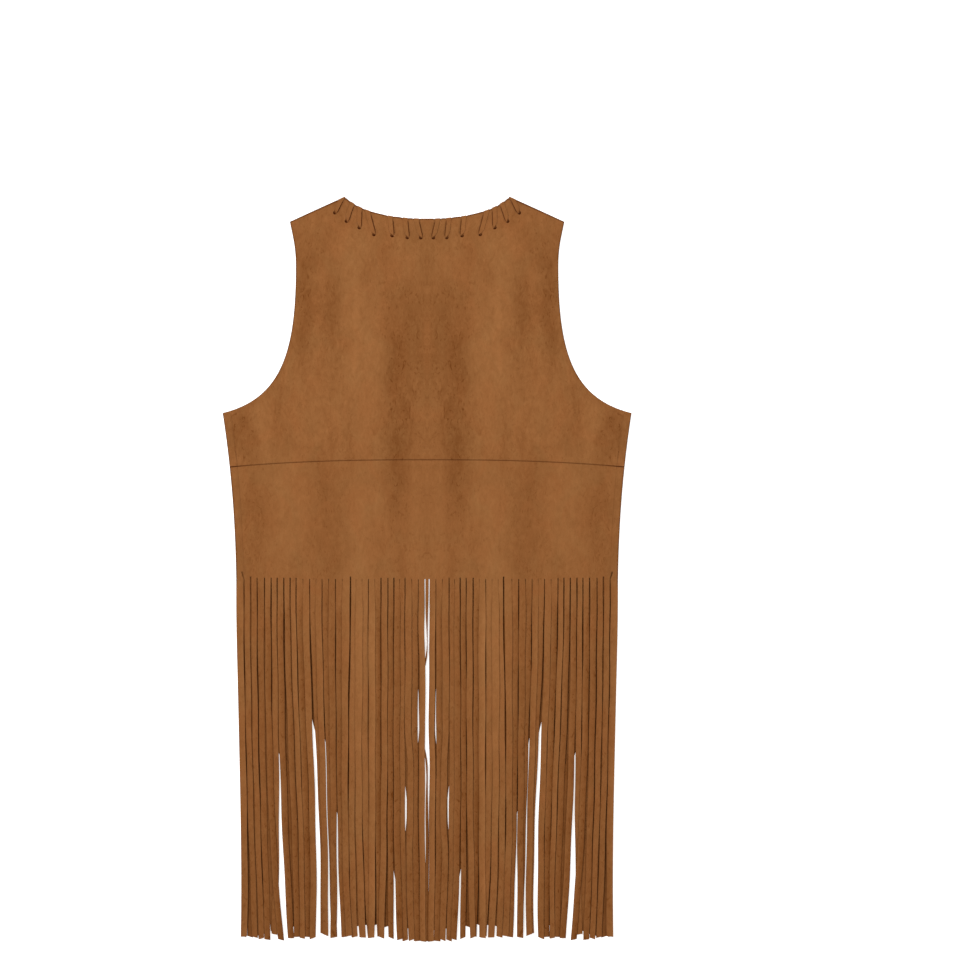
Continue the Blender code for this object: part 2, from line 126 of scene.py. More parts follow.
# The suede. The cloth is a faux suede with a short brushed nap, which lies one way or the other and so
# shows lighter and darker patches. Painted shade darkens its cut edges, the cross seam and the lacing
# holes, and each strand of fringe has its own shade, with painted shade on the lower strands.
SUEDE_RED = (0.276, 0.107, 0.0345, 1.0)
SUEDE_YELLOW = (0.260, 0.113, 0.0375, 1.0)
SUEDE_DARK = (0.114, 0.0330, 0.0056, 1.0)
# Painted shade: the brown that cut edges, the seam's groove, the holes and the thong's raised edge are
# darkened towards.
PAINTED_SHADE_BROWN = (0.050, 0.0095, 0.0010, 1.0)
NAP_ROUGHNESS = 0.95
NAP_SHEEN = 0.09
NAP_SHEEN_ROUGHNESS = 0.35
NAP_SHEEN_TINT = (1.0, 0.84, 0.68, 1.0)
NAP_GLOSS = 0.03
PANEL_SHADE = 0.345
# The fronts' suede is darker, as painted shade for what shows through the back's slits.
FRONT_PAINTED_SHADE = 0.60
STRAND_UNEVENNESS = 0.8

# Each grain is one layer of the nap's unevenness: how many of its patches lie in a metre across and
# down, how ragged and how wavy they are, and how much they change the shade. The rubs are small dark
# marks, which show most where the nap was brushed the other way.
Grain = namedtuple("Grain", "across down detail waviness depth")
HUES = Grain(34.0, 20.0, 2.0, 1.0, 1.8)
CLOUDS = Grain(13.0, 5.0, 2.0, 0.4, 0.28)
PATCHINESS = Grain(50.0, 20.0, 2.0, 0.8, 0.38)
MOTTLE = Grain(110.0, 64.0, 3.0, 1.4, 0.48)
STREAKS = Grain(330.0, 150.0, 2.0, 0.8, 0.36)
RUBS = Grain(150.0, 66.0, 2.0, 3.0, 0.55)
RUB_START = 0.60
RUB_EASE = 0.09
RUB_EVERYWHERE = 0.35
RUB_WHERE_BRUSHED = 1.5
NAP = Grain(1500.0, 1500.0, 2.0, 0.0, 0.25)
NAP_RELIEF = 0.0006
NAP_RELIEF_STRENGTH = 0.35
NAP_RELIEF_SHARE = 0.6


class Shade:
    """A socket of the suede's shader. Sums and products of shades add their Math nodes."""

    def __init__(self, tree, socket=None):
        self.tree = tree
        self.socket = socket

    def add(self, kind, settings=None, inputs=None, output=0):
        """Adds a node, sets it up, fills or links its sockets, and gives one of its outputs."""
        node = self.tree.nodes.new(kind)
        for name, value in (settings or {}).items():
            setattr(node, name, value)
        for name, value in (inputs or {}).items():
            if isinstance(value, Shade):
                self.tree.links.new(value.socket, node.inputs[name])
            else:
                node.inputs[name].default_value = value
        return Shade(self.tree, node.outputs[output])

    def maths(self, operation, first, second=0.0):
        return self.add("ShaderNodeMath", {"operation": operation}, {0: first, 1: second})

    def __add__(self, other):
        return self.maths("ADD", self, other)

    def __radd__(self, other):
        return self.maths("ADD", other, self)

    def __sub__(self, other):
        return self.maths("SUBTRACT", self, other)

    def __rsub__(self, other):
        return self.maths("SUBTRACT", other, self)

    def __mul__(self, other):
        return self.maths("MULTIPLY", self, other)

    def __rmul__(self, other):
        return self.maths("MULTIPLY", other, self)

    def limited(self):
        """The same shade, kept from 0 to 1."""
        return self.add("ShaderNodeClamp", inputs={0: self})

    def mixed(self, first, second):
        """A colour from the first to the second, as this shade goes from 0 to 1."""
        node = self.tree.nodes.new("ShaderNodeMix")
        node.data_type = "RGBA"
        node.clamp_factor = True
        colours = {socket.name: socket for socket in node.inputs if socket.type == "RGBA"}
        self.tree.links.new(self.socket, node.inputs[0])
        for name, value in (("A", first), ("B", second)):
            if isinstance(value, Shade):
                self.tree.links.new(value.socket, colours[name])
            else:
                colours[name].default_value = value
        return Shade(self.tree, next(socket for socket in node.outputs if socket.type == "RGBA"))


def dye_suede(name, base_shade, uneven):
    """The suede, at this shade of brown from 0, light, to 1, dark. Its halves were cut as a pair and
    brushed alike, so the nap's pattern is the same on both sides of the middle."""
    material = bpy.data.materials.new(name)
    material.use_nodes = True
    tree = material.node_tree
    shader = tree.nodes["Principled BSDF"]
    suede = Shade(tree)
    place = suede.add("ShaderNodeTexCoord", output="Object")
    apart = suede.add("ShaderNodeSeparateXYZ", inputs={"Vector": place})
    down = Shade(tree, apart.socket.node.outputs[1])
    level = Shade(tree, apart.socket.node.outputs[2])
    place = suede.add(
        "ShaderNodeCombineXYZ", inputs={"X": apart.maths("ABSOLUTE", apart), "Y": down, "Z": level}
    )

    def grain(layer):
        size = (layer.across, layer.down, layer.across)
        scaled = suede.add("ShaderNodeVectorMath", {"operation": "MULTIPLY"}, {0: place, 1: size})
        sockets = {"Vector": scaled, "Scale": 1.0, "Detail": layer.detail, "Distortion": layer.waviness}
        return suede.add("ShaderNodeTexNoise", inputs=sockets)

    # This mark holds the nap's patches and, on the fringe, each strand's tone with its painted shade.
    nap_and_painted_shade = suede.add("ShaderNodeAttribute", {"attribute_name": "nap_and_painted_shade"}, output="Fac")
    cut = suede.add("ShaderNodeAttribute", {"attribute_name": "cut"}, output="Fac")
    shade = base_shade + nap_and_painted_shade
    for layer in (CLOUDS, PATCHINESS, MOTTLE, STREAKS):
        shade = shade + (grain(layer) - 0.5) * (layer.depth * uneven)
    nap = grain(NAP) - 0.5
    rubs = ((grain(RUBS) - RUB_START) * (1 / RUB_EASE)).limited()
    rubbed = (nap_and_painted_shade * RUB_WHERE_BRUSHED + RUB_EVERYWHERE).limited()
    shade = shade + nap * NAP.depth + rubs * rubbed * (RUBS.depth * uneven)
    hue = ((grain(HUES) - 0.5) * HUES.depth + 0.5).limited()
    colour = shade.mixed(hue.mixed(SUEDE_RED, SUEDE_YELLOW), SUEDE_DARK)
    # Painted shade: the cut mark mixes this brown in along cut edges, in the seam and in the holes.
    colour = cut.mixed(colour, PAINTED_SHADE_BROWN)
    tree.links.new(colour.socket, shader.inputs["Base Color"])
    relief = nap * NAP_RELIEF_SHARE + grain(STREAKS)
    bump = suede.add(
        "ShaderNodeBump",
        inputs={"Strength": NAP_RELIEF_STRENGTH, "Distance": NAP_RELIEF, "Height": relief},
    )
    tree.links.new(bump.socket, shader.inputs["Normal"])
    shader.inputs["Roughness"].default_value = NAP_ROUGHNESS
    shader.inputs["Sheen Weight"].default_value = NAP_SHEEN
    shader.inputs["Sheen Roughness"].default_value = NAP_SHEEN_ROUGHNESS
    shader.inputs["Sheen Tint"].default_value = NAP_SHEEN_TINT
    shader.inputs["Specular IOR Level"].default_value = NAP_GLOSS
    return material


PANEL_SUEDE = dye_suede("panel_suede", PANEL_SHADE, 1.0)
FRINGE_SUEDE = dye_suede("fringe_suede", PANEL_SHADE, STRAND_UNEVENNESS)
SHADED_FRONT_SUEDE = dye_suede("front_suede_painted_shade", FRONT_PAINTED_SHADE, STRAND_UNEVENNESS)


# The upper back. One panel of suede, cut to the neck, shoulders and armholes, 1.1 mm thick. It rolls
# under at the cross seam, and 14 holes for the lacing are punched through it along the neck.
MM = 0.001
LENGTH = 0.930
LACE_OVERHANG = 0.0009
TOP_Y = LENGTH / 2 - LACE_OVERHANG / 2
NECK_WIDTH = 0.206
NECK_DROP = 0.0273
NECK_ROUND = 0.63
NECK_POWER = 5.5
CORNER_EASE = 0.0025
SHOULDER_WIDTH = 0.343
SHOULDER_Y = TOP_Y - 0.031
CROSS_BACK_WIDTH = 0.328
CROSS_BACK_Y = TOP_Y - 0.087
CHEST_WIDTH = 0.511
UNDERARM_Y = TOP_Y - 0.270
SEAM_Y = TOP_Y - 0.3375
SEAM_BOW = 0.009
SEAM_POWER = 2.5
HIP_WIDTH = 0.477
ROOT_Y = TOP_Y - 0.479
WALL = 0.0011
LAYER = WALL + 0.0003
EDGE_SOFTNESS = 0.00028
EDGE_ANGLE = math.radians(50)
SMOOTH_ANGLE = math.radians(40)
# How far in from the cut edges their painted shade reaches.
PAINTED_EDGE_REACH = 0.0014

# Each row is one curve of the vest's side: from the shoulder tip to the cross back, round the armhole
# to the underarm, and down to the fringe. Its two handles are millimetres from its own ends.
Curve = namedtuple("Curve", "leave_across leave_up arrive_across arrive_up points")
SIDE_CURVES = (
    Curve(-4.0, -20.0, 0.0, 24.0, 30),
    Curve(0.0, -108.0, -73.0, 18.0, 60),
    Curve(-11.0, -70.0, 1.0, 69.0, 64),
)

# The holes of the lacing, from the shoulder to the centre, and where the thong crosses the neck edge,
# in millimetres from the centre and below the neck point.
Stitch = namedtuple("Stitch", "hole_across hole_drop edge_across")
STITCHES = (
    Stitch(115.0, 20.0, 106.4),
    Stitch(100.6, 30.5, 93.2),
    Stitch(84.6, 38.5, 84.0),
    Stitch(66.4, 47.0, 74.4),
    Stitch(43.6, 48.5, 45.9),
    Stitch(24.6, 50.9, 27.1),
    Stitch(7.9, 51.1, 13.3),
)
HOLE_DIAMETER = 0.0046
HOLE_SIDES = 28
PEG_LENGTH = 0.020
PEG_MIDDLE = 0.005
DRAWN_IN = 0.0009
DRAWN_WIDTH = 0.0075


def side_outline():
    corners = (
        Vector((SHOULDER_WIDTH / 2, SHOULDER_Y)),
        Vector((CROSS_BACK_WIDTH / 2, CROSS_BACK_Y)),
        Vector((CHEST_WIDTH / 2, UNDERARM_Y)),
        Vector((HIP_WIDTH / 2, ROOT_Y)),
    )
    points = [corners[0]]
    for start, end, curve in zip(corners, corners[1:], SIDE_CURVES):
        leave = start + Vector((curve.leave_across, curve.leave_up)) * MM
        arrive = end + Vector((curve.arrive_across, curve.arrive_up)) * MM
        points += interpolate_bezier(start, leave, arrive, end, curve.points)[1:]
    return [(point.y, point.x) for point in reversed(points)]


SIDE = side_outline()
SIDE_HEIGHTS = [height for height, _ in SIDE]


def half_width(y):
    """Half the vest's width at this height, between the fringe and the shoulder tips."""
    place = bisect_right(SIDE_HEIGHTS, y)
    if place in (0, len(SIDE)):
        return SIDE[min(place, len(SIDE) - 1)][1]
    (low, narrow), (high, wide) = SIDE[place - 1], SIDE[place]
    return narrow + (wide - narrow) * (y - low) / (high - low)


def smooth(share):
    """Eases from 0 to 1 as the share goes from 0 to 1."""
    share = min(max(share, 0.0), 1.0)
    return share * share * (3 - 2 * share)


def bulge(away, reach):
    """1 where nothing is away, easing to 0 at the reach."""
    return smooth(1 - abs(away) / reach)


def neck_or_shoulder(across):
    """The height of the neck edge or the shoulder seam, this far from the centre."""
    across = abs(across)
    share = across / (NECK_WIDTH / 2)
    if share < 1:
        rise = NECK_ROUND * share**2 + (1 - NECK_ROUND) * share**NECK_POWER
        return TOP_Y - NECK_DROP * (1 - rise)
    slope = (TOP_Y - SHOULDER_Y) / (SHOULDER_WIDTH / 2 - NECK_WIDTH / 2)
    return TOP_Y - (across - NECK_WIDTH / 2) * slope


def top_edge(across):
    """The height of that edge with the neck points a little rounded, as scissors leave them, and drawn
    in by the lacing where it goes over the edge."""
    sides = neck_or_shoulder(across - CORNER_EASE) + neck_or_shoulder(across + CORNER_EASE)
    drawn = sum(bulge(abs(across) - stitch.edge_across * MM, DRAWN_WIDTH) for stitch in STITCHES)
    return neck_or_shoulder(across) / 2 + sides / 4 - DRAWN_IN * drawn


def seam_line(across):
    """The bowed cross seam's height, this far from the centre."""
    share = min(abs(across) / half_width(SEAM_Y), 1.0)
    return SEAM_Y + SEAM_BOW * (1 - share**SEAM_POWER)


# How the back lies. Each row of creases is a soft ridge or trough down the cloth, on one half and
# mirrored on the other, in millimetres: its middle, half its width and length, and its height. The
# last value is how much it leans outward going up.
Crease = namedtuple("Crease", "across up half_across half_up rise lean")
CREASES = (
    Crease(9, 62, 10, 62, 0.5, 0.02),
    Crease(33, 70, 9, 118, -0.9, 0.05),
    Crease(52, 30, 12, 92, 0.6, -0.04),
    Crease(80, 55, 13, 108, 0.8, 0.03),
    Crease(95, 52, 8, 74, -0.7, 0.02),
    Crease(112, 44, 10, 70, 0.5, -0.06),
    Crease(141, 48, 14, 70, -0.6, 0.05),
    Crease(176, 60, 15, 66, 0.7, 0.02),
    Crease(214, 66, 13, 78, -0.6, 0.03),
    Crease(38, 218, 13, 118, -0.9, -0.03),
    Crease(58, 250, 14, 96, 0.5, 0.05),
    Crease(91, 262, 16, 104, 0.8, 0.08),
    Crease(124, 316, 12, 74, -0.7, 0.10),
    Crease(150, 262, 14, 72, 0.5, 0.12),
    Crease(188, 176, 15, 50, -0.4, 0.20),
    Crease(14, 300, 18, 96, 0.6, 0.0),
    Crease(140, 402, 26, 16, 0.6, 0.3),
    Crease(64, 396, 34, 9, -0.4, 0.2),
)
CREASE_HOLD = 1.4
SIDE_RISE = 0.0012
SIDE_RISE_RUN = 0.035
WAVE_RISE = 0.0006
WAVE_LENGTH = 0.078
WAVE_LEAN = 1.4
WAVE_TURNS = 7.0
LACE_RISE = 0.0014
LACE_RISE_WIDTH = 0.125
LACE_RISE_DROP = 0.065
LACE_RISE_RUN = 0.045
LACE_PRINT = 0.0003
LACE_PRINT_WIDTH = 0.0042
SEAM_ROLL = 0.0022
SEAM_ROLL_SHALLOW = 0.00025
SEAM_ROLL_DEEP = 0.00095
SEAM_ROLL_POWER = 1.5
ALLOWANCE_RISE = 0.00045
ALLOWANCE_SHARE = 0.9616
ALLOWANCE_STEP = 0.0028


def crease_rise(x, y):
    rise = 0.0
    for crease in CREASES:
        up = (y - crease.up * MM) / (crease.half_up * MM)
        across = (abs(x) - (crease.across + crease.lean * up * crease.half_up) * MM) / (
            crease.half_across * MM
        )
        if abs(up) < 1 and abs(across) < 1:
            rise += crease.rise * MM * bulge(across, 1) * smooth(CREASE_HOLD * (1 - abs(up)))
    return rise


def lace_print(x, y):
    """The thong's run under the back prints through it from each hole to the next."""
    if y < TOP_Y - LACE_RISE_DROP:
        return 0.0
    spot = Vector((abs(x), y))
    highest = 0.0
    holes = [Vector((stitch.hole_across * MM, TOP_Y - stitch.hole_drop * MM)) for stitch in STITCHES]
    for start, end in zip(holes, holes[1:] + [Vector((0.0, holes[-1].y))]):
        run = end - start
        share = min(max((spot - start).dot(run) / run.length_squared, 0.0), 1.0)
        highest = max(highest, bulge((spot - start - run * share).length, LACE_PRINT_WIDTH))
    return LACE_PRINT * highest


def back_rise(x, y):
    """How far the back's underside lies above its lowest level."""
    from_side = smooth((half_width(y) - abs(x)) / SIDE_RISE_RUN)
    wave = 0.5 + 0.5 * math.sin(math.tau * abs(x) / WAVE_LENGTH + WAVE_LEAN * math.sin(WAVE_TURNS * y))
    beside_neck = smooth(1 + (LACE_RISE_WIDTH - abs(x)) / LACE_RISE_RUN)
    under_neck = smooth(1 + (y - TOP_Y + LACE_RISE_DROP) / LACE_RISE_RUN)
    rise = (SIDE_RISE + WAVE_RISE * wave + crease_rise(x, y)) * from_side
    return rise + LACE_RISE * beside_neck * under_neck


def allowance(x, y):
    """The seam allowance that is pressed flat under the back along its side seam stands out a little."""
    share = abs(x) / half_width(y)
    return ALLOWANCE_RISE * smooth((share - ALLOWANCE_SHARE) / ALLOWANCE_STEP) * (y < UNDERARM_Y)


def back_height(x, y):
    height = LAYER + back_rise(x, y) + allowance(x, y) + lace_print(x, y)
    from_side = smooth((half_width(y) - abs(x)) / SIDE_RISE_RUN)
    roll = SEAM_ROLL_SHALLOW + (SEAM_ROLL_DEEP - SEAM_ROLL_SHALLOW) * from_side
    return height - roll * (1 - smooth(abs(y - seam_line(x)) / SEAM_ROLL)) ** SEAM_ROLL_POWER


# The nap of the back. Each row is a patch that was brushed the other way, with its middle, half its
# width and half its length in millimetres, and how much darker it looks.
Patch = namedtuple("Patch", "across up half_across half_up darker")
PATCHES = (
    Patch(36, 195, 20, 95, 0.19),
    Patch(30, 300, 20, 60, 0.13),
    Patch(8, 300, 60, 70, 0.06),
    Patch(42, 110, 14, 60, 0.08),
    Patch(33, 60, 15, 80, 0.09),
    Patch(124, 60, 24, 85, 0.08),
    Patch(219, 60, 18, 90, 0.10),
    Patch(118, 322, 14, 56, 0.12),
    Patch(155, 330, 12, 60, 0.10),
    Patch(150, 395, 20, 30, 0.10),
    Patch(232, 170, 20, 40, 0.14),
    Patch(205, 182, 12, 26, -0.12),
    Patch(76, 225, 24, 110, -0.10),
    Patch(150, 215, 26, 60, -0.10),
    Patch(79, 50, 17, 80, -0.09),
    Patch(172, 70, 20, 80, -0.10),
    Patch(90, 402, 34, 24, -0.08),
    Patch(96, 330, 20, 110, -0.08),
    Patch(152, 300, 12, 90, 0.08),
    Patch(64, 330, 12, 90, -0.05),
    Patch(14, 30, 12, 60, -0.05),
    Patch(85, -14, 20, 34, -0.09),
)
PATCH_HOLD = 1.35
# Painted shade: darkening in the cross seam's groove, along the cut edges and along the edge of the
# pressed allowance.
SEAM_PAINTED_SHADE = 0.92
SEAM_PAINTED_SHADE_CORE = 0.0005
SEAM_PAINTED_SHADE_RUN = 0.0008
PAINTED_EDGE_SHADE = 0.85
ALLOWANCE_PAINTED_SHADE = 0.20
ALLOWANCE_PAINTED_SHADE_WIDTH = 0.0042


def brushing(x, y):
    darker = 0.0
    for patch in PATCHES:
        across = (abs(x) / MM - patch.across) / patch.half_across
        up = (y / MM - patch.up) / patch.half_up
        darker += patch.darker * smooth(PATCH_HOLD - math.hypot(across, up))
    return darker


def painted_seam_shade(x, y):
    """Painted shade where the cloth turns down into the cross seam's groove."""
    return SEAM_PAINTED_SHADE * (1 - smooth((abs(y - seam_line(x)) - SEAM_PAINTED_SHADE_CORE) / SEAM_PAINTED_SHADE_RUN))


def painted_allowance_shade(x, y):
    """A little painted shade along the edge of the pressed allowance too."""
    share = abs(x) / half_width(y)
    return ALLOWANCE_PAINTED_SHADE * bulge(share - ALLOWANCE_SHARE, ALLOWANCE_PAINTED_SHADE_WIDTH) * (y < UNDERARM_Y)


def deselect_all():
    if bpy.context.object and bpy.context.object.mode != "OBJECT":
        bpy.ops.object.mode_set(mode="OBJECT")
    bpy.ops.object.select_all(action="DESELECT")


def work_on(piece):
    deselect_all()
    piece.select_set(True)
    bpy.context.view_layer.objects.active = piece


def cut_cloth(name, columns, rows):
    """A flat grid of cloth with these columns across and rows up."""
    deselect_all()
    bpy.ops.mesh.primitive_grid_add(
        x_subdivisions=len(columns) - 1, y_subdivisions=len(rows) - 1, size=2.0
    )
    cloth = bpy.context.object
    cloth.name = name
    for vert in cloth.data.vertices:
        column = round((vert.co.x + 1) / 2 * (len(columns) - 1))
        row = round((vert.co.y + 1) / 2 * (len(rows) - 1))
        vert.co = (columns[column], rows[row], 0.0)
    return cloth


def lay_cloth(cloth, place, marks):
    """Lays the cut cloth out: each point goes from its flat place to where it lies. The marks are the
    attributes that the suede reads there."""
    flat = [vert.co.copy() for vert in cloth.data.vertices]
    for name, mark in marks.items():
        layer = cloth.data.attributes.new(name, "FLOAT", "POINT")
        layer.data.foreach_set("value", [mark(point.x, point.y) for point in flat])
    for vert, point in zip(cloth.data.vertices, flat):
        vert.co = place(point.x, point.y)


def apply_modifier(piece, kind, **settings):
    work_on(piece)
    modifier = piece.modifiers.new(kind.lower(), kind)
    for name, value in settings.items():
        setattr(modifier, name, value)
    bpy.ops.object.modifier_apply(modifier=modifier.name)


def soften_edges(piece, segments):
    """Rounds the rims of the cloth's cut edges, but not the short upright corners between them."""
    mesh = bmesh.new()
    mesh.from_mesh(piece.data)
    weight = mesh.edges.layers.float.new("bevel_weight_edge")
    for edge in mesh.edges:
        rise = abs(edge.verts[0].co.z - edge.verts[1].co.z)
        if len(edge.link_faces) == 2 and rise < edge.calc_length() / 2:
            edge[weight] = float(edge.calc_face_angle() > EDGE_ANGLE)
    mesh.to_mesh(piece.data)
    mesh.free()
    apply_modifier(
        piece,
        "BEVEL",
        width=EDGE_SOFTNESS,
        segments=segments,
        limit_method="WEIGHT",
        use_clamp_overlap=False,
    )


def finish_cloth(cloth, suede, cutters=None, edge_segments=2):
    """Gives the laid cloth its thickness, softens its cut edges, and punches it. The punch leaves its
    holes with a crisp rim."""
    apply_modifier(cloth, "SOLIDIFY", thickness=WALL, offset=1.0, use_even_offset=True)
    soften_edges(cloth, edge_segments)
    if cutters:
        apply_modifier(cloth, "BOOLEAN", operation="DIFFERENCE", solver="EXACT", object=cutters)
    cloth.data.materials.clear()
    cloth.data.materials.append(suede)
    work_on(cloth)
    bpy.ops.object.shade_smooth_by_angle(angle=SMOOTH_ANGLE)


def hole_pegs():
    """Upright pegs, one for each hole, joined into one cutter."""
    deselect_all()
    pegs = []
    for side in (-1, 1):
        for stitch in STITCHES:
            place = (side * stitch.hole_across * MM, TOP_Y - stitch.hole_drop * MM, PEG_MIDDLE)
            bpy.ops.mesh.primitive_cylinder_add(
                vertices=HOLE_SIDES, radius=HOLE_DIAMETER / 2, depth=PEG_LENGTH, location=place
            )
            pegs.append(bpy.context.object)
    for peg in pegs:
        peg.select_set(True)
    bpy.ops.object.join()
    return bpy.context.object


NECK_COLUMNS = 44
SHOULDER_COLUMNS = 30
SIDE_COLUMNS = (0.9560, 0.9600, 0.9616, 0.9630, 0.9644, 0.9670, 0.9740, 0.9830, 0.9900, 0.9950, 0.9980)
COLUMN_APART = 0.003
SEAM_ROWS = (0.15, 0.5, 0.75, 1.0, 1.4, 2.0, 2.8, 4.0, 5.6, 7.6, 10.0)
ROW_APART = 0.0015
SEAM_BEND_RUN = 0.045
BLEND_DROP = 0.075


def upper_columns():
    neck = NECK_WIDTH / SHOULDER_WIDTH
    half = [neck * step / NECK_COLUMNS for step in range(NECK_COLUMNS)]
    half += [neck + (1 - neck) * step / SHOULDER_COLUMNS for step in range(SHOULDER_COLUMNS)]
    half = [share for share in half if share < SIDE_COLUMNS[0] - COLUMN_APART]
    half += list(SIDE_COLUMNS) + [1.0]
    return [-share for share in reversed(half[1:])] + half


def make_upper_back():
    seam_rows = [SEAM_Y + step * MM for step in SEAM_ROWS]
    heights = seam_rows + [height for height in SIDE_HEIGHTS if height > seam_rows[-1] + ROW_APART]
    blend_from = TOP_Y - BLEND_DROP

    def place(share, height):
        x = share * half_width(height)
        y = height + (seam_line(x) - SEAM_Y) * (1 - smooth((height - SEAM_Y) / SEAM_BEND_RUN))
        lift = max(0.0, (height - blend_from) / (SHOULDER_Y - blend_from))
        y += (top_edge(share * SHOULDER_WIDTH / 2) - SHOULDER_Y) * lift
        return Vector((x, y, back_height(x, y)))

    # Painted shade along the cut edges, in the cross seam and along the allowance, given to the suede as
    # its cut mark.
    def painted_edge_shade(share, height):
        spot = place(share, height)
        from_side = (1 - abs(share)) * half_width(height)
        from_top = abs(top_edge(spot.x) - spot.y)
        edge = PAINTED_EDGE_SHADE * bulge(min(from_side, from_top), PAINTED_EDGE_REACH)
        return max(edge, painted_seam_shade(spot.x, spot.y), painted_allowance_shade(spot.x, spot.y))

    back = cut_cloth("upper_back", upper_columns(), heights)
    marks = {
        "nap_and_painted_shade": lambda share, height: brushing(*place(share, height).xy),
        "cut": painted_edge_shade,
    }
    lay_cloth(back, place, marks)
    pegs = hole_pegs()
    finish_cloth(back, PANEL_SUEDE, cutters=pegs)
    bpy.data.objects.remove(pegs)
    return back


upper_back = make_upper_back()
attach(upper_back, "root")
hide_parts("back_upper")


# The lower back and its fringe. One panel of suede, sewn to the upper back, with 59 strands cut into
# its lower 450 mm. They lie on two levels, and bunch and part as they fell.
FRINGE_LENGTH = LENGTH - 0.479
FLOOR_CLEARANCE = 0.0002
LIFT_RUN = 0.045
FREE_SHARE = 0.08
TAPER_SHARE = 0.25
MID_SHARE = 0.49
WANDER_RUN = 0.048
WANDER_LEAD = 0.045
PINCH_RUN = 0.070
RAGGED = 0.0016

# The middle strand slips under its neighbour for a while, and is pinched narrow there.
MIDDLE_STRAND_WIDTH = 0.0040
MIDDLE_SLIT = 0.0013
MIDDLE_WANDER = 0.0066
MIDDLE_OPENS = 0.085
MIDDLE_CLOSES = 0.235
MIDDLE_PINCH = 0.76
MIDDLE_TINT = 0.2

# The strands' rows and columns of points. The columns are shares of half a strand's width.
BEND_ROWS = 56
STRAND_EDGE = 0.86
SIDE_EDGE = 0.55
CUT_EDGE = 0.99
TOUCH = 1e-6

# How a strand's surface and edges vary. A value named for chance makes a strand's own tint decide
# where its waves start or how far it overlaps, so that no two neighbours are alike.
CROWN = 0.00006
HIGH_TILT = 0.00055
LOW_TILT = 0.0001
LEAN_TURNS = 0.9
LEAN_CHANCE = 5.0
WIDE_SLIT = 0.00095
NARROW_SLIT = 0.00065
CLOSE_RUN = 0.004
STRETCH = 0.50
OVERLAP = 0.0013
OVERLAP_FADES = 0.11
OVERLAP_CHANCE = 37.0
OVERLAP_BESIDE = 0.31
WOBBLE = 0.00034
WOBBLE_LENGTH = 0.12
WOBBLE_CHANCE = 31.0
WAVE_BESIDE = 0.2

# How light and dark the strands and their edges are. The lower strands get painted shade, each
# strand's shade is painted stronger towards one side as if shaded by its neighbour, and the cut edges
# get painted shade beside the slits.
TINT_SPREAD = 0.14
TINT_LIGHTER = 0.03
TINT_RUN = 0.060
LOW_STRAND_PAINTED_SHADE = 0.09
ONE_SIDED_PAINTED_SHADE = 1.1
FALL_DARK = 0.22
PATCHES_FADE = 0.6
SIDE_DARK = 0.5
EDGE_DARK_LEAST = 0.12
EDGE_DARK_MOST = 0.85
EDGE_DARK_RUN = 0.58
EDGE_WAVE = 0.17
EDGE_WAVE_CHANCE = 23.0
EDGE_WAVE_LEAST = 0.3

# Each row is a strand of the back's fringe, from the centre out, in millimetres. "cut" is where the
# slit beyond it is cut, from the centre, and "slit" is how wide that is. "mid" and "tip" are where
# the strand's middle lies halfway down and at its end, "wide" is its width there, and "short" is how
# far it stops above the longest ones. Where the fringe parts beyond it, one sees through from "opens"
# to "closes", both below the roots, and there the strand lies "wander" nearer the centre.
Row = namedtuple("Row", "cut slit mid tip wide short opens closes wander", defaults=(0.0, 0.0, 0.0))
OPEN_END = 500.0
BACK_ROWS = (
    Row(11.0, 0.5, 6.65, 5.0, 7.5, 0.0, 98.0, 232.0, 0.9),
    Row(19.1, 0.5, 15.4, 12.2, 7.9, 0.3),
    Row(27.5, 0.9, 23.9, 19.3, 7.4, 1.8, 228.0, 345.0, 2.6),
    Row(34.3, 0.4, 31.2, 27.0, 6.9, 1.0),
    Row(41.4, 1.3, 38.3, 33.6, 7.2, 2.5, 338.0, OPEN_END),
    Row(48.9, 0.9, 45.7, 44.7, 6.9, 4.1),
    Row(57.5, 1.2, 53.4, 57.5, 7.6, 4.9),
    Row(65.3, 0.3, 61.3, 57.9, 7.3, 6.4),
    Row(73.3, 0.7, 68.8, 69.7, 7.5, 4.5),
    Row(81.2, 0.3, 77.4, 69.7, 7.6, 6.0),
    Row(88.8, 0.3, 85.7, 79.9, 7.4, 4.9),
    Row(95.6, 1.5, 94.0, 90.4, 7.4, 5.4),
    Row(106.0, 0.5, 102.5, 96.9, 7.4, 6.9),
    Row(114.5, 0.8, 109.6, 103.4, 7.0, 5.4, 268.0, OPEN_END),
    Row(123.0, 0.6, 117.2, 116.4, 7.4, 4.9),
    Row(131.2, 0.6, 123.6, 116.8, 7.1, 6.4, 172.0, OPEN_END, 0.9),
    Row(138.8, 0.3, 130.6, 127.1, 7.1, 8.0),
    Row(146.7, 0.7, 134.8, 130.4, 7.1, 9.5, 158.0, OPEN_END),
    Row(155.0, 0.4, 145.3, 142.6, 7.3, 4.0),
    Row(163.6, 0.9, 153.9, 149.2, 7.5, 5.5),
    Row(171.0, 1.2, 161.3, 156.0, 6.4, 4.0),
    Row(178.9, 1.1, 169.1, 162.6, 7.6, 5.5),
    Row(187.2, 1.2, 180.2, 169.4, 7.8, 4.0, 198.0, OPEN_END),
    Row(194.7, 1.1, 188.9, 191.0, 7.4, 8.8),
    Row(203.0, 1.2, 196.4, 182.5, 7.6, 2.1),
    Row(212.3, 0.9, 205.4, 199.0, 7.6, 2.1),
    Row(220.3, 1.6, 213.7, 206.6, 6.8, 3.6),
    Row(228.8, 1.1, 221.9, 214.6, 7.3, 5.0),
    Row(238.5, 0.0, 230.2, 228.7, 8.2, 6.0),
)
PLACES = "inner outer mid tip wide short level wander opens closes inner_slit outer_slit"
Strand = namedtuple("Strand", f"{PLACES} tint tilt ragged pinch", defaults=(0.0,))


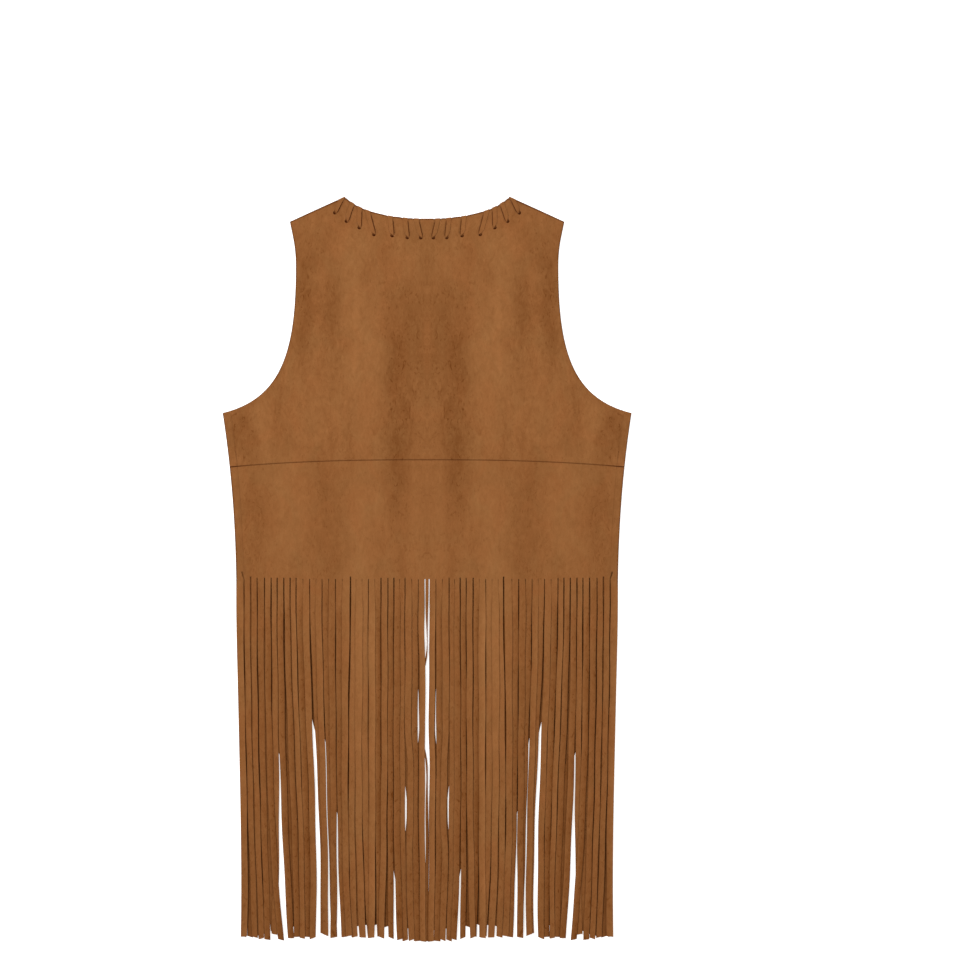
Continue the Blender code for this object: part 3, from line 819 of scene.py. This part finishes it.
def centre(strand, share):
    """A strand hangs straight from its root, then drifts through its middle place to its tip. One that
    wanders lies nearer the centre of the back from where it opens the fringe to where it closes it."""
    root = (strand.inner + strand.outer) / 2
    square = ((strand.mid - root) - (strand.tip - root) * MID_SHARE**3) / (MID_SHARE**2 - MID_SHARE**3)
    cube = (strand.tip - root) - square
    down = share * FRINGE_LENGTH
    away = smooth((down - strand.opens) / WANDER_RUN) * smooth((strand.closes - down) / WANDER_RUN)
    return root + square * share**2 + cube * share**3 - strand.wander * away


def width(strand, share):
    cut = strand.outer - strand.inner
    down = share * FRINGE_LENGTH
    pinch = smooth((down - strand.opens) / PINCH_RUN + 1) * smooth((strand.closes - down) / PINCH_RUN + 1)
    eased = cut + (strand.wide - cut) * smooth((share - FREE_SHARE) / TAPER_SHARE)
    return eased * (1 - strand.pinch * pinch)


def chance_marks(chance, level):
    """A strand's own shade, with painted shade added to the lower ones, how far it is tipped to one side,
    and how slanted its end is cut.
    """
    tilt = chance.uniform(-HIGH_TILT, HIGH_TILT) if level else chance.uniform(-LOW_TILT, LOW_TILT)
    return {
        "tint": chance.uniform(-TINT_SPREAD, TINT_SPREAD) + LOW_STRAND_PAINTED_SHADE * (1 - level),
        "tilt": tilt,
        "ragged": chance.uniform(-RAGGED, RAGGED),
    }


def back_strands(chance):
    """The strands of the back's right half. Neighbours lie on two levels in turn."""
    strands = []
    inner = MIDDLE_STRAND_WIDTH / 2 + MIDDLE_SLIT
    inner_slit = WIDE_SLIT
    for number, row in enumerate(BACK_ROWS):
        level = (number + 1) % 2
        strands.append(
            Strand(
                inner=inner,
                outer=(row.cut - row.slit / 2) * MM,
                mid=row.mid * MM,
                tip=row.tip * MM,
                wide=row.wide * MM,
                short=row.short * MM,
                level=level,
                wander=row.wander * MM,
                opens=row.opens * MM - WANDER_LEAD,
                closes=row.closes * MM,
                inner_slit=inner_slit,
                outer_slit=max(row.slit * MM, WIDE_SLIT * bool(row.opens)),
                **chance_marks(chance, level),
            )
        )
        inner = (row.cut + row.slit / 2) * MM
        inner_slit = strands[-1].outer_slit
    return strands


def mirrored(strand):
    return strand._replace(
        inner=-strand.outer,
        outer=-strand.inner,
        mid=-strand.mid,
        tip=-strand.tip,
        wander=-strand.wander,
        tilt=-strand.tilt,
        ragged=-strand.ragged,
        inner_slit=strand.outer_slit,
        outer_slit=strand.inner_slit,
    )


def strand_columns(strands):
    """Five columns for each strand: its two cut edges, a line just inside each, and its middle. The
    first and the last strand have one more, for the cloth's own edge."""
    columns = []
    for strand in strands:
        middle, half = (strand.inner + strand.outer) / 2, (strand.outer - strand.inner) / 2
        columns += [middle + half * share for share in (-1, -STRAND_EDGE, 0, STRAND_EDGE, 1)]
        if strand is strands[0] or strand is strands[-1]:
            columns.append(middle + math.copysign(half * SIDE_EDGE, middle))
    return sorted(columns)


def strand_at(strands, starts, x):
    strand = strands[max(bisect_right(starts, x + TOUCH) - 1, 0)]
    return strand, (x - strand.inner) / (strand.outer - strand.inner) * 2 - 1


def cut_fringe(cloth, strands, slit_tops=None):
    """Draws the strands down from the panel's lower edge, divides them so that they can bend, and
    lengthens the slits that are cut a little higher than the rest."""
    work_on(cloth)
    bpy.ops.object.mode_set(mode="EDIT")
    bpy.ops.mesh.select_all(action="DESELECT")
    bpy.ops.mesh.select_mode(type="EDGE")
    mesh = bmesh.from_edit_mesh(cloth.data)
    low = min(vert.co.y for vert in mesh.verts) + TOUCH
    starts = [strand.inner for strand in strands]
    for edge in mesh.edges:
        if max(vert.co.y for vert in edge.verts) < low:
            _, across = strand_at(strands, starts, sum(vert.co.x for vert in edge.verts) / 2)
            edge.select = abs(across) < 1
    bmesh.update_edit_mesh(cloth.data)
    bpy.ops.mesh.extrude_edges_move(TRANSFORM_OT_translate={"value": (0.0, -FRINGE_LENGTH, 0.0)})
    mesh = bmesh.from_edit_mesh(cloth.data)
    for edge in mesh.edges:
        edge.select = abs(edge.verts[0].co.y - edge.verts[1].co.y) > FRINGE_LENGTH / 2
    bmesh.update_edit_mesh(cloth.data)
    bpy.ops.mesh.subdivide(number_cuts=BEND_ROWS - 1)
    if slit_tops:
        mesh = bmesh.from_edit_mesh(cloth.data)
        above = []
        for face in mesh.faces:
            middle = face.calc_center_median()
            strand, across = strand_at(strands, starts, middle.x)
            if across > 1 and low < middle.y < ROOT_Y + slit_tops(middle.x):
                above.append(face)
        bmesh.ops.delete(mesh, geom=above, context="FACES")
        bmesh.update_edit_mesh(cloth.data)
    bpy.ops.object.mode_set(mode="OBJECT")


def spread(strand, across, down):
    """How much wider a strand is on this side than it was cut, half across. The cloth stretches until
    narrow slits all but close, the upper strands lie over the lower ones, more or less, and no edge is
    cut quite straight."""
    slit = strand.outer_slit if across > 0 else strand.inner_slit
    if not slit:
        return 0.0
    overlap = OVERLAP * strand.level * ((strand.tint * OVERLAP_CHANCE + across * OVERLAP_BESIDE) % 1.0)
    overlap *= max(0.0, 1 - slit / WIDE_SLIT)
    turns = down / WOBBLE_LENGTH + strand.tint * WOBBLE_CHANCE + across * WAVE_BESIDE
    stretch = STRETCH * max(0.0, WIDE_SLIT - slit) + WOBBLE * math.sin(math.tau * turns)
    stretch += overlap * (1 - smooth((down - OVERLAP_FADES) / OVERLAP_FADES))
    return stretch * smooth(down / LIFT_RUN) + slit / 2 * (slit < NARROW_SLIT) * smooth(down / CLOSE_RUN)


def strand_place(strand, across, down, root_height, levels):
    """Where a point of a strand lies: across goes from -1 to 1 over its width, and down is how far
    it is cut below its root."""
    end = (FRINGE_LENGTH - strand.short - strand.ragged * across) / FRINGE_LENGTH
    share = down * end / FRINGE_LENGTH
    fallen = smooth(down / LIFT_RUN)
    middle = centre(strand, share)
    lean = strand.tilt * fallen * math.sin(math.tau * (share * LEAN_TURNS + strand.tint * LEAN_CHANCE))
    crown = CROWN * fallen * (1 - across * across)
    height = root_height(middle, ROOT_Y) * (1 - fallen) + levels[strand.level] * fallen
    x = middle + across * (width(strand, share) / 2 + spread(strand, across, down))
    return Vector((x, ROOT_Y - down * end, height + crown + abs(lean) + lean * across))


def painted_edge_shade_of(strand, across, down):
    """Painted shade on a strand's cut edges: darker beside a wide slit, and more so in some stretches
    than in others.
    """
    slit = strand.outer_slit if across > 0 else strand.inner_slit
    turns = down / EDGE_WAVE + strand.tint * EDGE_WAVE_CHANCE + across * WAVE_BESIDE
    wave = 0.5 + 0.5 * math.sin(math.tau * turns)
    dark = min(EDGE_DARK_LEAST + EDGE_DARK_RUN * slit / WIDE_SLIT, EDGE_DARK_MOST) if slit else SIDE_DARK
    dark *= EDGE_WAVE_LEAST + (1 - EDGE_WAVE_LEAST) * wave
    return dark * (abs(across) > CUT_EDGE) * smooth(down / CLOSE_RUN)


# The slit beside the side seam is cut highest, and slants outward into the pressed allowance.
SIDE_SLIT_TOP = 0.0105
SLIT_TOP = 0.0026
SIDE_SLIT_LEAN = 0.0026
SIDE_SLIT_EASE = 0.02
SIDE_SLIT_WIDTH = 0.004
BACK_SEED = 7
LOWER_ROWS = (0.0, 1.5, 3.0, 4.5, 6.0, 7.5, 9.0, 10.5, 12.5, 15.0)
LOWER_STEPS = 40


def make_lower_back():
    chance = random.Random(BACK_SEED)
    half = back_strands(chance)
    edge = MIDDLE_STRAND_WIDTH / 2
    middle = Strand(
        inner=-edge,
        outer=edge,
        mid=0.0,
        tip=0.0,
        wide=MIDDLE_STRAND_WIDTH,
        short=0.0,
        level=0,
        wander=MIDDLE_WANDER,
        opens=MIDDLE_OPENS,
        closes=MIDDLE_CLOSES,
        pinch=MIDDLE_PINCH,
        tint=MIDDLE_TINT,
        tilt=0.0,
        ragged=0.0,
        inner_slit=WIDE_SLIT,
        outer_slit=WIDE_SLIT,
    )
    strands = [mirrored(strand) for strand in reversed(half)] + [middle] + half
    starts = [strand.inner for strand in strands]
    levels = (FLOOR_CLEARANCE + 2 * LAYER, FLOOR_CLEARANCE + 3 * LAYER)
    heights = [ROOT_Y + step * MM for step in LOWER_ROWS]
    first, last = heights[-1], SEAM_Y - SEAM_ROWS[-1] * MM
    heights += [first + (last - first) * step / LOWER_STEPS for step in range(1, LOWER_STEPS + 1)]
    heights += [SEAM_Y - step * MM for step in reversed(SEAM_ROWS[:-1])]
    width_at_root = half_width(ROOT_Y)
    side_slit = half[-1].inner

    def slit_tops(x):
        if abs(abs(x) - side_slit) < SIDE_SLIT_WIDTH / 2:
            return SIDE_SLIT_TOP
        row = min(BACK_ROWS, key=lambda row: abs(row.cut * MM - abs(x)))
        return SLIT_TOP * row.slit

    def place(x, y):
        if y > ROOT_Y - TOUCH:
            above = y - ROOT_Y
            slant = smooth(above / SIDE_SLIT_TOP) * (1 - smooth((above - SIDE_SLIT_TOP) / SIDE_SLIT_EASE))
            slant *= bulge(abs(x) - side_slit, SIDE_SLIT_WIDTH)
            x = x * half_width(y) / width_at_root + math.copysign(SIDE_SLIT_LEAN * slant, x)
            y += (seam_line(x) - SEAM_Y) * smooth((y - ROOT_Y) / (SEAM_Y - ROOT_Y))
            return Vector((x, y, back_height(x, y)))
        strand, across = strand_at(strands, starts, x)
        return strand_place(strand, across, ROOT_Y - y, back_height, levels)

    # The nap's patches, fading down the fringe; each strand's tone, with painted shade on the lower
    # strands and painted stronger towards one side; and darker towards the bottom.
    def nap_and_painted_shade(x, y):
        spot = place(x, y)
        strand, across = strand_at(strands, starts, x)
        down = smooth((ROOT_Y - y) / TINT_RUN)
        fall = max(0.0, (ROOT_Y - y) / FRINGE_LENGTH)
        panel = brushing(spot.x, max(spot.y, ROOT_Y)) * (1 - PATCHES_FADE * fall)
        shade = strand.tint * (1 + ONE_SIDED_PAINTED_SHADE * across) - TINT_LIGHTER
        return panel + down * shade + FALL_DARK * fall

    # Painted shade on the panel's cut edges, in the cross seam and along the allowance, and on the
    # strands' cut edges.
    def cut(x, y):
        if y > ROOT_Y - TOUCH:
            spot = place(x, y)
            painted_edge_shade = PAINTED_EDGE_SHADE * bulge(half_width(y) - abs(spot.x), PAINTED_EDGE_REACH)
            return max(painted_edge_shade, painted_seam_shade(spot.x, spot.y), painted_allowance_shade(spot.x, spot.y))
        strand, across = strand_at(strands, starts, x)
        return painted_edge_shade_of(strand, across, ROOT_Y - y)

    cloth = cut_cloth("lower_back", strand_columns(strands), heights)
    cut_fringe(cloth, strands, slit_tops)
    lay_cloth(cloth, place, {"nap_and_painted_shade": nap_and_painted_shade, "cut": cut})
    finish_cloth(cloth, FRINGE_SUEDE, edge_segments=1)
    return cloth


lower_back = make_lower_back()
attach(lower_back, "root")
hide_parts("back_lower", "back_fringe")


# The two fronts. They lie under the back with their outer side down, and show only through the fringe,
# so they are cut plainly: an opening down the middle, a V neck and a fringe like the back's. Their
# suede is dyed darker than the back's, as painted shade where they show through the slits.
FRONT_OPENING = 0.0055
FRONT_NECK_Y = TOP_Y - 0.230
FRONT_SLIT = 0.0008
FRONT_INSET = 0.0004
FRONT_TUCK = 0.0004
FRONT_SHORTER = 0.014
FRONT_SHORTER_RUN = 0.045
FRONT_SEED = 11


def front_strands(chance):
    """The strands of the right front. Each lies under a slit of the back, so that this doesn't show the
    floor, but where the back's fringe parts there it slips under the strand before."""
    cuts = [FRONT_OPENING / 2] + [row.cut * MM for row in BACK_ROWS]
    bounds = cuts[:1] + [(first + second) / 2 for first, second in zip(cuts, cuts[1:])] + cuts[-1:]
    strands = []
    for number, (inner, outer) in enumerate(zip(bounds, bounds[1:])):
        row = BACK_ROWS[max(number - 1, 0)]
        wide = min(row.wide * MM - FRONT_INSET, outer - inner - FRONT_SLIT)
        mid, tip, wander = row.mid, row.tip, 0.0
        if 0 < number < len(BACK_ROWS):
            beyond = BACK_ROWS[number]
            reach = (row.wide + beyond.wide) / 2
            mid, tip = mid + row.wide / 2, tip + row.wide / 2
            mid_gap, tip_gap = beyond.mid - row.mid - reach, beyond.tip - row.tip - reach
            mid, tip = mid + mid_gap / 2, tip + tip_gap / 2
            if row.opens:
                wander = (wide + max(mid_gap, tip_gap, row.wander) * MM) / 2 + FRONT_TUCK
        strands.append(
            Strand(
                inner=inner + FRONT_SLIT / 2,
                outer=outer - FRONT_SLIT / 2,
                mid=mid * MM,
                tip=tip * MM,
                wide=wide,
                short=row.short * MM + FRONT_SHORTER * smooth((cuts[-1] - outer) / FRONT_SHORTER_RUN),
                level=number % 2,
                wander=wander,
                opens=row.opens * MM,
                closes=row.closes * MM,
                inner_slit=FRONT_SLIT,
                outer_slit=FRONT_SLIT,
                **chance_marks(chance, 0),
            )
        )
    return strands


def make_front(side_name, side):
    strands = front_strands(random.Random(FRONT_SEED))
    starts = [strand.inner for strand in strands]
    levels = (FLOOR_CLEARANCE, FLOOR_CLEARANCE + LAYER)
    heights = [ROOT_Y] + [height for height in SIDE_HEIGHTS[::2] if height > ROOT_Y + MM]
    width_at_root = half_width(ROOT_Y)
    blend_from = TOP_Y - BLEND_DROP

    def place(x, y):
        if y < ROOT_Y - TOUCH:
            strand, across = strand_at(strands, starts, x)
            spot = strand_place(strand, across, ROOT_Y - y, lambda x, y: 0.0, levels)
            return Vector((side * spot.x, spot.y, spot.z))
        share = (x - FRONT_OPENING / 2) / (width_at_root - FRONT_OPENING / 2)
        neck = 2 * smooth((y - FRONT_NECK_Y) / (SHOULDER_Y - FRONT_NECK_Y) / 2)
        inner = FRONT_OPENING / 2 + neck * (NECK_WIDTH - FRONT_OPENING) / 2
        lift = max(0.0, (y - blend_from) / (SHOULDER_Y - blend_from))
        spot_x = inner + share * (half_width(y) - inner)
        return Vector((side * spot_x, y + (TOP_Y - SHOULDER_Y) * (1 - share) * lift, 0.0))

    # Each strand's tone, with painted shade, and painted shade on its cut edges.
    def nap_and_painted_shade(x, y):
        strand, _ = strand_at(strands, starts, x)
        return smooth((ROOT_Y - y) / TINT_RUN) * strand.tint

    def cut(x, y):
        strand, across = strand_at(strands, starts, x)
        return painted_edge_shade_of(strand, across, ROOT_Y - y)

    columns = strand_columns(strands)
    columns[-1] = width_at_root
    cloth = cut_cloth(f"{side_name}_front", columns, heights)
    cut_fringe(cloth, strands)
    lay_cloth(cloth, place, {"nap_and_painted_shade": nap_and_painted_shade, "cut": cut})
    if side < 0:
        work_on(cloth)
        bpy.ops.object.mode_set(mode="EDIT")
        bpy.ops.mesh.select_all(action="SELECT")
        bpy.ops.mesh.flip_normals()
        bpy.ops.object.mode_set(mode="OBJECT")
    finish_cloth(cloth, SHADED_FRONT_SUEDE, edge_segments=1)
    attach(cloth, "root")
    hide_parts(f"front_{side_name}", f"front_fringe_{side_name}")


make_front("left", -1)
make_front("right", 1)


# The lacing. One flat thong of the same suede comes up through each hole, lies on the back up to the
# neck edge, turns over it and runs on underneath to the next hole. Its inner edge stands up a little.
THONG_WALL = 0.0008
THONG_CLEARANCE = 0.0002
THONG_HOLE_WIDTH = 0.0039
THONG_PLUG_WIDTH = 0.0051
THONG_FOLD_WIDTH = 0.0064
THONG_OPEN_WIDTH = 0.0060
THONG_OPENS = 0.0030
THONG_SKEW = 0.0026
THONG_SKEW_RUN = 0.0070
THONG_UNDER_WIDTH = 0.0040
THONG_TAIL = 0.006
THONG_BEND = 0.0007
THONG_STARTS = (0.4, -1.0, 0.0)
THONG_TIP_UP = 0.0004
THONG_TIPS_UP = 8.0
THONG_LIES_DOWN = 3.0
THONG_TURNS_FROM = 0.6
THONG_SHOWS_HOLE = 0.0012
THONG_PAST_HOLE = 0.0034
THONG_SAG = 0.0003
THONG_TOP_STEPS = 16
THONG_COLUMNS = (-1.0, -0.84, -0.66, 0.66, 0.84, 1.0)
THONG_EDGE = 0.8
THONG_EDGE_SOFTNESS = 0.0002
# Painted shade along the thong's raised inner edge and on all of it that lies in a hole.
THONG_PAINTED_EDGE_SHADE = 0.92
THONG_EDGE_SHARPNESS = 1.2
THONG_PAINTED_HOLE_SHADE = 0.6
THONG_HOLE_DROP = 1.3 * THONG_BEND
THONG_FOLD_RUN = 6 * THONG_BEND
THONG_TURN_RUN = 7 * THONG_BEND
THONG_CORNER = math.radians(60)

Section = namedtuple("Section", "middle across tipped dark")


def thong_sections():
    """The thong's middle line, with half its width across at each place, how far the edge towards the
    centre of the back stands up there, and how much painted shade it has. That edge leaves the hole's
    rim lower than the other."""
    stitches = [(-row.hole_across, row.hole_drop, -row.edge_across) for row in STITCHES]
    stitches += [(row.hole_across, row.hole_drop, row.edge_across) for row in reversed(STITCHES)]
    holes = [Vector((x * MM, TOP_Y - drop * MM, 0.0)) for x, drop, _ in stitches]
    crossings = [Vector((x * MM, top_edge(x * MM), 0.0)) for _, _, x in stitches]
    reach = THONG_CLEARANCE + THONG_WALL / 2
    sections = []

    def add(place, z, across, tipped=0.0, dark=0.0):
        sections.append(Section(Vector((place.x, place.y, z)), across, tipped, dark))

    def below(place):
        return back_height(place.x, place.y) - reach

    def above(place):
        return back_height(place.x, place.y) + WALL + reach

    def across_top(going, width):
        return Vector((going.y, -going.x, 0.0)) * width / 2

    coming = Vector(THONG_STARTS).normalized()
    tail = holes[0] - coming * THONG_TAIL
    add(tail, below(tail), -across_top(coming, THONG_UNDER_WIDTH))
    for number, (hole, crossing) in enumerate(zip(holes, crossings)):
        going = (crossing - hole).normalized()
        inner_side = -math.copysign(1.0, hole.x)
        past = hole - going * THONG_PAST_HOLE
        rising, hole = hole - going * THONG_SHOWS_HOLE, hole + going * THONG_SHOWS_HOLE
        goes = across_top(going, THONG_HOLE_WIDTH)
        under = past - coming * THONG_FOLD_RUN
        add(under, below(under), -across_top(coming, THONG_UNDER_WIDTH))
        skew = going * inner_side * THONG_SKEW
        # Painted shade on the thong where it lies in the hole.
        add(past, below(past) - THONG_SAG, across_top(going, THONG_FOLD_WIDTH), dark=1.0)
        add(rising, below(rising), across_top(going, THONG_PLUG_WIDTH), dark=1.0)
        add(hole, above(hole) - THONG_HOLE_DROP, goes - skew / 2, dark=THONG_PAINTED_HOLE_SHADE)
        hole += going * THONG_BEND
        add(hole, above(hole), goes - skew)
        left, right = crossing.x - THONG_BEND, crossing.x + THONG_BEND
        edge = Vector((2 * THONG_BEND, top_edge(right) - top_edge(left), 0.0)).normalized()
        outward = Vector((-edge.y, edge.x, 0.0))
        fold = edge * THONG_OPEN_WIDTH / 2 / abs(going.cross(edge).z)
        for step in range(1, THONG_TOP_STEPS):
            share = step / THONG_TOP_STEPS
            place = hole.lerp(crossing, share)
            run = share * (crossing - hole).length
            opened = smooth(run / THONG_OPENS)
            square = across_top(going, THONG_HOLE_WIDTH + (THONG_OPEN_WIDTH - THONG_HOLE_WIDTH) * opened)
            square -= skew * (1 - smooth(run / THONG_SKEW_RUN))
            turned = smooth((share - THONG_TURNS_FROM) / (1 - THONG_TURNS_FROM))
            tipped = inner_side * THONG_TIP_UP * smooth(share * THONG_TIPS_UP)
            tipped *= smooth((1 - share) * THONG_LIES_DOWN)
            add(place, above(place), square.lerp(fold, turned), tipped)
        inside, past = crossing - outward * THONG_BEND / 2, crossing + outward * reach
        add(inside, above(inside), fold)
        add(past, above(inside) - THONG_BEND, fold)
        add(past, below(inside) + THONG_BEND, fold)
        add(inside, below(inside), fold)
        if number + 1 < len(holes):
            coming = (holes[number + 1] - crossing).normalized()
        else:
            coming = Vector((0.0, -1.0, 0.0))
        place = crossing + coming * THONG_TURN_RUN
        add(place, below(place), -across_top(coming, THONG_UNDER_WIDTH))
    return sections


def make_thong():
    sections = thong_sections()
    deselect_all()
    bpy.ops.mesh.primitive_grid_add(x_subdivisions=len(THONG_COLUMNS) - 1, y_subdivisions=1, size=2.0)
    thong = bpy.context.object
    thong.name = "neck_thong"
    bpy.ops.object.mode_set(mode="EDIT")
    mesh = bmesh.from_edit_mesh(thong.data)
    cut = mesh.verts.layers.float.new("cut")

    def lay(verts, section):
        """Lays one row of the thong, and marks its painted shade: along the edge that stands up, and on
        all that lies in a hole."""
        for vert, column in zip(verts, THONG_COLUMNS):
            lifted = max(0.0, column * section.tipped)
            vert.co = section.middle + section.across * column + Vector((0.0, 0.0, lifted))
            raised = min(lifted / THONG_TIP_UP * THONG_EDGE_SHARPNESS, 1.0)
            edge = THONG_PAINTED_EDGE_SHADE * (abs(column) > THONG_EDGE) * raised
            vert[cut] = max(edge, section.dark)

    rows = sorted(mesh.verts, key=lambda vert: (vert.co.y, vert.co.x))
    last = rows[len(THONG_COLUMNS):]
    lay(rows[:len(THONG_COLUMNS)], sections[0])
    lay(last, sections[1])
    for section in sections[2:]:
        edges = [mesh.edges.get(pair) for pair in zip(last, last[1:])]
        made = set(bmesh.ops.extrude_edge_only(mesh, edges=edges)["geom"])
        last = [
            next(edge.other_vert(vert) for edge in vert.link_edges if edge.other_vert(vert) in made)
            for vert in last
        ]
        lay(last, section)
    bmesh.update_edit_mesh(thong.data)
    bpy.ops.object.mode_set(mode="OBJECT")
    apply_modifier(thong, "SOLIDIFY", thickness=THONG_WALL, offset=0.0, use_even_offset=False)
    apply_modifier(
        thong,
        "BEVEL",
        width=THONG_EDGE_SOFTNESS,
        segments=2,
        limit_method="ANGLE",
        angle_limit=THONG_CORNER,
    )
    thong.data.materials.clear()
    thong.data.materials.append(FRINGE_SUEDE)
    work_on(thong)
    bpy.ops.object.shade_smooth_by_angle(angle=SMOOTH_ANGLE)
    return thong


neck_thong = make_thong()
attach(neck_thong, "root")
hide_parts("neck_lacing")
